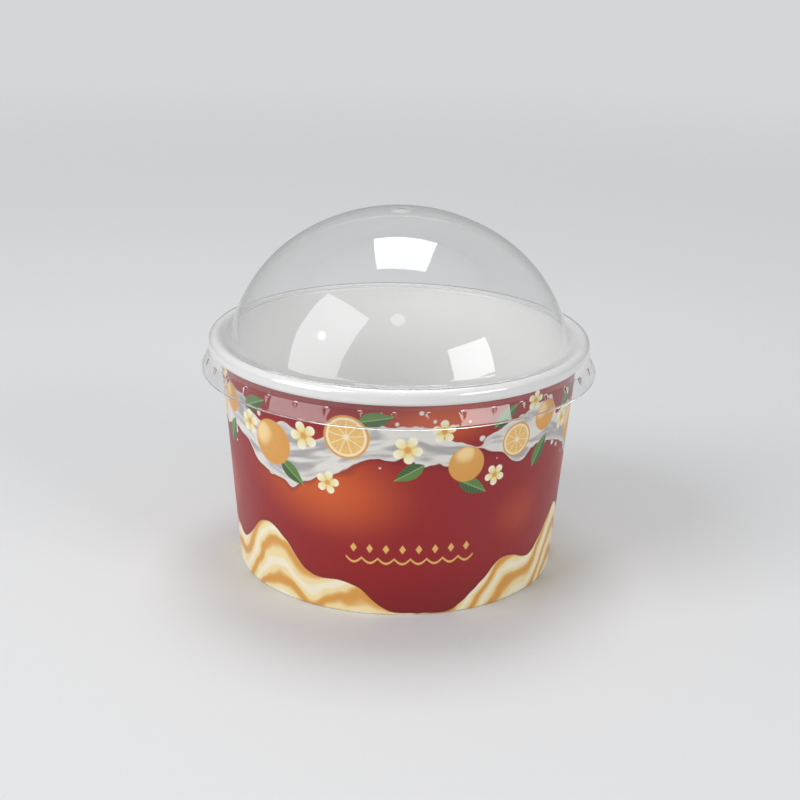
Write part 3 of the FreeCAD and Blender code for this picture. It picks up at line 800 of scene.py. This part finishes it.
def raise_lap(bm, tub):
    """Lifts the overlap of the side seam out of the wall's outer side, at the back."""
    half = tub.lap_width / 2
    foot = half + tub.lap_ramp
    low = tub.board + tub.lap_margin
    high = CUP_HEIGHT - tub.curl_depth - tub.lap_margin
    cut_levels(bm, (low - STEP_FACE, low, high, high + STEP_FACE))
    for x in (-half - STEP_FACE, -half, half, foot):
        bmesh.ops.bisect_plane(bm, geom=[*bm.verts, *bm.edges, *bm.faces], dist=TINY,
                               plane_co=(x, 0, 0), plane_no=(1, 0, 0))
    lifted = set()
    for vert in bm.verts:
        x, y, z = vert.co
        radius = math.hypot(x, y)
        on_side = y > 0 and abs(radius - wall_outside(tub, z)) < tub.board / 4
        if not on_side or not (low - TINY <= z <= high + TINY and -half - TINY <= x < foot):
            continue
        lift = tub.lap_step * min(1, (foot - x) / tub.lap_ramp)
        vert.co *= 1 + lift / radius
        vert.co.z = z
        lifted.add(vert)
    for face in bm.faces:
        centre = face.calc_center_median()
        if lifted & set(face.verts) and abs(centre.x + half + STEP_FACE / 2) < STEP_FACE:
            face.material_index = 0


class TUB_OT_wall(bpy.types.Operator):
    """Makes the paper wall: its hem, its rolled rim and the lap of its side seam"""

    bl_idname = "tub.wall"
    bl_label = "Wall"

    def execute(self, context):
        tub = context.scene.tub_sizes
        lean = wall_lean(tub)
        upper = tub.curl_width / 2
        heel = tub.foot_radius - tub.board
        toe = heel - (tub.bottom_board + 2 * tub.glue_gap) / math.cos(lean)
        hem_top = tub.recess - tub.hem_clearance
        tail = wall_outside(tub, CUP_HEIGHT - upper) + tub.curl_slit
        lower = (RIM_RADIUS - tail) / 2
        tuck = CUP_HEIGHT - tub.curl_depth + lower
        # the hem's top, its fold at the foot, the rolled rim's two bends and its tail
        bm = turned_sheet([
            Bend(toe + (hem_top - tub.board) * math.tan(lean), hem_top),
            Bend(toe, tub.board),
            Bend(heel, tub.board),
            Bend(RIM_RADIUS - upper, CUP_HEIGHT - upper, upper, 1),
            Bend(RIM_RADIUS - lower, tuck, lower, 1),
            Bend(tail, tuck + tub.curl_tail),
        ], tub.board, [(FULL_TURN, WALL_COLUMNS)], WALL_STEP, (0, 1))
        bmesh.ops.remove_doubles(bm, verts=bm.verts, dist=WELD)
        raise_lap(bm, tub)
        materials = [bpy.data.materials["Bare board"], bpy.data.materials["Printed board"]]
        finish_piece(bm, "tub_wall", materials, "cup", "cup_wall")
        return {"FINISHED"}


class TUB_OT_bottom(bpy.types.Operator):
    """Makes the recessed paper bottom and its skirt"""

    bl_idname = "tub.bottom"
    bl_label = "Bottom"

    def execute(self, context):
        tub = context.scene.tub_sizes
        lean = wall_lean(tub)
        top = tub.recess + tub.bottom_board
        bend_z = top - tub.bottom_bend
        bend_x = wall_inside(tub, bend_z) - (tub.glue_gap + tub.bottom_bend) / math.cos(lean)
        edge_z = tub.board + tub.skirt_clearance
        edge_x = wall_inside(tub, edge_z) - tub.glue_gap / math.cos(lean)
        bm = turned_sheet([
            Bend(0, top),
            Bend(bend_x, bend_z, tub.bottom_bend, 1),
            Bend(edge_x, edge_z),
        ], tub.bottom_board, [(FULL_TURN, WALL_COLUMNS)], WALL_STEP, from_axis=True)
        finish_piece(bm, "tub_bottom", [bpy.data.materials["Bare board"]], "cup",
                     "cup_bottom")
        return {"FINISHED"}


def film_material():
    """Clear film with the slight waviness of a drawn sheet.

    Shadow and diffuse rays go straight through, so it casts next to no shadow. So do rays
    that were mirrored more than CAUGHT_BOUNCES times, so the sheet's edges stay pale.
    """
    material, nodes, shader, place = new_material("Clear film")
    shader.inputs["Base Color"].default_value = (0.98, 0.98, 0.98, 1)
    shader.inputs["Transmission Weight"].default_value = 1
    shader.inputs["IOR"].default_value = 1.57
    shader.inputs["Roughness"].default_value = 0.02
    nodes.feed(shader.inputs["Normal"], nodes.made(
        "ShaderNodeBump", {"Height": nodes.noise(place, FILM_WAVES, 1.0), "Strength": 0.35,
                           "Distance": 0.25 * MM}))
    light = nodes.node("ShaderNodeLightPath")
    clear = nodes.made("ShaderNodeBsdfTransparent", {"Color": (0.95, 0.95, 0.95)})
    indirect = nodes.math("MAXIMUM", light.outputs["Is Shadow Ray"],
                          light.outputs["Is Diffuse Ray"])
    caught = nodes.math("GREATER_THAN", light.outputs["Glossy Depth"], CAUGHT_BOUNCES)
    passing = nodes.math("MAXIMUM", indirect, caught)
    shown = nodes.made("ShaderNodeMixShader", {0: passing, 1: shader.outputs[0], 2: clear})
    nodes.feed(material.node_tree.nodes["Material Output"].inputs["Surface"], shown)
    return material


def press_dimple(bm, lid, middle, skirt_top):
    """Presses a dimple into a sector of the skirt: a flat top that narrows to a lower tip.

    middle is the dimple's direction and skirt_top the skirt's inner radius beside its top.
    The tip fades out in the skirt. The film keeps its thickness, so the hollow behind the
    dimple starts a film lower and stands back from its sloping front by a film.
    """
    top = CUP_HEIGHT - lid.lug_drop
    slope = math.tan(lid.flare_draft)
    top_front = RIM_RADIUS + lid.lug_clearance
    tip_front = skirt_top + lid.lug_height * slope + lid.film / 4
    lean = math.atan((tip_front - top_front) / lid.lug_height)
    apart = lid.film * (1 + math.sin(lean)) / math.cos(lean)
    rows = [top - lid.film - lid.lug_height * row / LUG_ROWS for row in range(LUG_ROWS)]
    cut_levels(bm, (top + STEP_FACE, top, top - lid.film + STEP_FACE, *rows))
    for vert in bm.verts:
        radius = vert.co.xy.length
        skirt = skirt_top + (top - vert.co.z) * slope
        outer = radius > skirt + lid.film / 2
        down = (top - vert.co.z - (lid.film if outer else 0)) / lid.lug_height
        if not -TINY <= down <= 1 or abs(radius - skirt) > 2 * lid.film:
            continue
        bend = lid.lug_radius + (lid.lug_tip - lid.lug_radius) * down
        front = top_front + (tip_front - top_front) * down + (apart if outer else 0)
        aside = radius * (math.atan2(vert.co.y, vert.co.x) - middle)
        if abs(aside) < bend:
            depth = max(0, radius - front - bend + math.sqrt(bend * bend - aside * aside))
            vert.co.xy *= 1 - depth / radius


def raise_pip(bm, lid, crown, crown_top):
    """Raises the moulding pip out of the crown's outer side."""
    cut_levels(bm, [crown_top - crown + math.sqrt(crown ** 2 - radius ** 2)
                    for radius in (lid.pip_radius, lid.pip_top)])
    for vert in bm.verts:
        if vert.co.xy.length < lid.pip_top + TINY and vert.co.z > crown_top - lid.film / 2:
            vert.co.z = APEX


def dome_arcs(lid, crown_top, groove_x, groove_z):
    """Radii of the dome's two arcs: the crown, and the shoulder that leans into the groove.

    span and lift are what the arcs cover together, outwards and downwards. They are linear
    in the shoulder's radius and in the shift between the arcs' centres.
    """
    sin_join, cos_join = math.sin(lid.dome_join), math.cos(lid.dome_join)
    sin_lean, cos_lean = math.sin(lid.dome_lean), math.cos(lid.dome_lean)
    span = groove_x - lid.groove_bend * cos_lean
    lift = crown_top - groove_z + lid.groove_bend * sin_lean
    scale = sin_join * (1 - sin_lean) - cos_lean * (1 - cos_join)
    shift = (span * (1 - sin_lean) - lift * cos_lean) / scale
    shoulder = (lift * sin_join - span * (1 - cos_join)) / scale
    return shoulder + shift, shoulder


class TUB_OT_lid(bpy.types.Operator):
    """Makes the clear lid: dome, groove, ledge, skirt with its dimples, flange and pip"""

    bl_idname = "tub.lid"
    bl_label = "Lid"

    def execute(self, context):
        lid = context.scene.lid_sizes
        crown_top = APEX - lid.pip_height
        groove_x = RIM_RADIUS - lid.groove_inset
        groove_z = CUP_HEIGHT - lid.plug_depth + lid.film + lid.groove_bend
        ledge_x = RIM_RADIUS + lid.side_gap + lid.film - lid.ledge_bend
        ledge_z = CUP_HEIGHT + lid.seat_gap + lid.film - lid.ledge_bend
        flange_z = CUP_HEIGHT - lid.skirt_drop
        turn_z = flange_z + lid.flange_bend
        flare_z = CUP_HEIGHT - lid.flare_drop
        flare_x = (ledge_x + (lid.ledge_bend + lid.flare_bend) / math.cos(lid.skirt_draft)
                   + (ledge_z - flare_z) * math.tan(lid.skirt_draft))
        turn_x = (flare_x + (lid.flange_bend - lid.flare_bend) / math.cos(lid.flare_draft)
                  + (flare_z - turn_z) * math.tan(lid.flare_draft))
        crown, shoulder = dome_arcs(lid, crown_top, groove_x, groove_z)
        crown_z = crown_top - crown
        join_x = (crown - shoulder) * math.sin(lid.dome_join)
        join_z = crown_z + (crown - shoulder) * math.cos(lid.dome_join)
        sector = FULL_TURN / lid.lug_count
        plain = (sector - LUG_ZONE) / 2
        turns = [(plain, PLAIN_COLUMNS), (LUG_ZONE, LUG_COLUMNS), (plain, PLAIN_COLUMNS)]
        # crown, shoulder, groove, ledge, the skirt's two bends and the flange's edge
        bm = turned_sheet([
            Bend(0, crown_z, crown, 1),
            Bend(join_x, join_z, shoulder, 1),
            Bend(groove_x, groove_z, lid.groove_bend, -1),
            Bend(ledge_x, ledge_z, lid.ledge_bend, 1),
            Bend(flare_x, flare_z, lid.flare_bend, -1),
            Bend(turn_x, turn_z, lid.flange_bend, -1),
            Bend(FLANGE_RADIUS, flange_z),
        ], lid.film, turns, DOME_STEP, from_axis=True)
        bmesh.ops.remove_doubles(bm, verts=bm.verts, dist=WELD)
        skirt_top = (flare_x - (lid.flare_bend + lid.film) / math.cos(lid.flare_draft)
                     + (lid.lug_drop - lid.flare_drop) * math.tan(lid.flare_draft))
        press_dimple(bm, lid, sector / 2, skirt_top)
        raise_pip(bm, lid, crown, crown_top)
        bmesh.ops.rotate(bm, verts=bm.verts, cent=(0, 0, 0),
                         matrix=Matrix.Rotation(lid.lug_start - sector / 2, 3, "Z"))
        bmesh.ops.spin(bm, geom=[*bm.verts, *bm.edges, *bm.faces], cent=(0, 0, 0), axis=UP,
                       angle=FULL_TURN - sector, steps=lid.lug_count - 1, use_duplicate=True)
        finish_piece(bm, "clear_lid", [film_material()], "lid", "dome_lid")
        return {"FINISHED"}


# ---------------------------------------------------------------- stage


def soft_light(name, azimuth, elevation, distance, size, watts, shape="RECTANGLE"):
    """An area lamp that looks at the dome's top. Azimuth 0 is in front, 90 on the right."""
    round_up, up = math.radians(azimuth), math.radians(elevation)
    way = Vector((math.sin(round_up) * math.cos(up), -math.cos(round_up) * math.cos(up),
                  math.sin(up)))
    data = bpy.data.lights.new(name, "AREA")
    data.shape = shape
    data.size, data.size_y = size
    data.energy = watts
    lamp = bpy.data.objects.new(name, data)
    lamp.location = Vector((0, 0, APEX)) + way * distance
    lamp.rotation_mode = "QUATERNION"
    lamp.rotation_quaternion = way.to_track_quat("Z", "Y")
    lamp.visible_camera = False
    lamp.visible_transmission = False
    bpy.context.scene.collection.objects.link(lamp)


def ground_material(stage):
    """Matt pale ground that fades into the backdrop away from the tub.

    It is clear from below and in the patch that the tub covers, so that light reaches the
    tub's recess, and the recess shows from below.
    """
    material, nodes, shader, place = new_material("Pale ground")
    shader.inputs["Base Color"].default_value = (*stage.floor, 1)
    shader.inputs["Roughness"].default_value = 0.7
    out = nodes.measure("LENGTH", place)
    far = nodes.ramp(out, FADE_START, FADE_END, smooth=True)
    covered = nodes.math("LESS_THAN", out, COVERED)
    under = nodes.node("ShaderNodeNewGeometry").outputs["Backfacing"]
    away = nodes.math("MAXIMUM", far, nodes.math("MAXIMUM", covered, under))
    shown = nodes.made("ShaderNodeMixShader", {0: away, 1: shader.outputs[0],
                                               2: nodes.made("ShaderNodeBsdfTransparent", {})})
    nodes.feed(material.node_tree.nodes["Material Output"].inputs["Surface"], shown)
    return material


def make_world(stage):
    """A soft surround, and a backdrop in the ground's colour for camera, gloss and film.

    Gloss sees the backdrop dimmed, so that the film's edges stand out from it.
    """
    world = bpy.data.worlds.new("Studio")
    world.use_nodes = True
    nodes = Tree(world.node_tree)
    light = nodes.node("ShaderNodeLightPath")
    seen = nodes.math("MAXIMUM", light.outputs["Is Glossy Ray"], nodes.math(
        "MAXIMUM", light.outputs["Is Camera Ray"], light.outputs["Is Transmission Ray"]))
    level = nodes.ramp(light.outputs["Glossy Depth"], 0, 1, BACKDROP, GLOSS)
    surround = nodes.made("ShaderNodeBackground", {"Color": (1, 1, 1), "Strength": AMBIENT})
    backdrop = nodes.made("ShaderNodeBackground",
                          {"Color": tuple(stage.floor), "Strength": level})
    shown = nodes.made("ShaderNodeMixShader", {0: seen, 1: surround, 2: backdrop})
    nodes.feed(world.node_tree.nodes["World Output"].inputs["Surface"], shown)
    return world


class TUB_OT_stage(bpy.types.Operator):
    """Makes the floor, the backdrop, the lamps and the camera"""

    bl_idname = "tub.stage"
    bl_label = "Stage"

    def execute(self, context):
        scene = context.scene
        stage = scene.tub_stage
        scene.view_settings.view_transform = "Standard"

        bm = bmesh.new()
        bmesh.ops.create_circle(bm, cap_ends=True, segments=FLOOR_SEGMENTS,
                                radius=stage.floor_radius)
        bmesh.ops.translate(bm, verts=bm.verts, vec=(0, 0, -FLOOR_DROP))
        mesh = bpy.data.meshes.new("floor")
        bm.to_mesh(mesh)
        bm.free()
        mesh.materials.append(ground_material(stage))
        floor = bpy.data.objects.new("floor", mesh)
        scene.collection.objects.link(floor)

        scene.world = make_world(stage)
        for lamp in LAMPS:
            soft_light(*lamp)

        camera = bpy.data.objects.new("camera", bpy.data.cameras.new("camera"))
        camera.data.lens = stage.lens
        camera.data.clip_start = CLIP_START
        camera.location = stage.eye
        look = (Vector(stage.aim) - camera.location).to_track_quat("-Z", "Y")
        camera.rotation_mode = "QUATERNION"
        camera.rotation_quaternion = look @ Matrix.Rotation(stage.roll, 3, "Z").to_quaternion()
        scene.collection.objects.link(camera)
        scene.camera = camera
        return {"FINISHED"}


# ---------------------------------------------------------------- add-on


class TUB_PT_panel(bpy.types.Panel):
    """Lists the tub's sizes, colours and pieces"""

    bl_idname = "TUB_PT_panel"
    bl_label = "Ice cream tub"
    bl_space_type = "VIEW_3D"
    bl_region_type = "UI"
    bl_category = "Tub"

    def draw(self, context):
        for operator in OPERATORS:
            self.layout.operator(operator.bl_idname)
        for name in SETTINGS:
            group = getattr(context.scene, name)
            box = self.layout.box()
            for key in type(group).__annotations__:
                box.prop(group, key)


OPERATORS = (TUB_OT_materials, TUB_OT_wall, TUB_OT_bottom, TUB_OT_lid, TUB_OT_stage)
SETTINGS = {"tub_sizes": TubSizes, "lid_sizes": LidSizes, "tub_inks": InkColours,
            "tub_stage": StageSizes}
CLASSES = (*SETTINGS.values(), *OPERATORS, TUB_PT_panel)


def register():
    """Makes the classes and the scene's settings known."""
    for item in CLASSES:
        bpy.utils.register_class(item)
    for name, group in SETTINGS.items():
        setattr(bpy.types.Scene, name, PointerProperty(type=group))


def unregister():
    """Takes the scene's settings and the classes away."""
    for name in SETTINGS:
        delattr(bpy.types.Scene, name)
    for item in reversed(CLASSES):
        bpy.utils.unregister_class(item)


def main():
    """Builds every piece."""
    register()
    bpy.ops.tub.materials()
    bpy.ops.tub.wall()
    bpy.ops.tub.bottom()
    bpy.ops.tub.lid()
    bpy.ops.tub.stage()


if __name__ == "__main__":
    main()
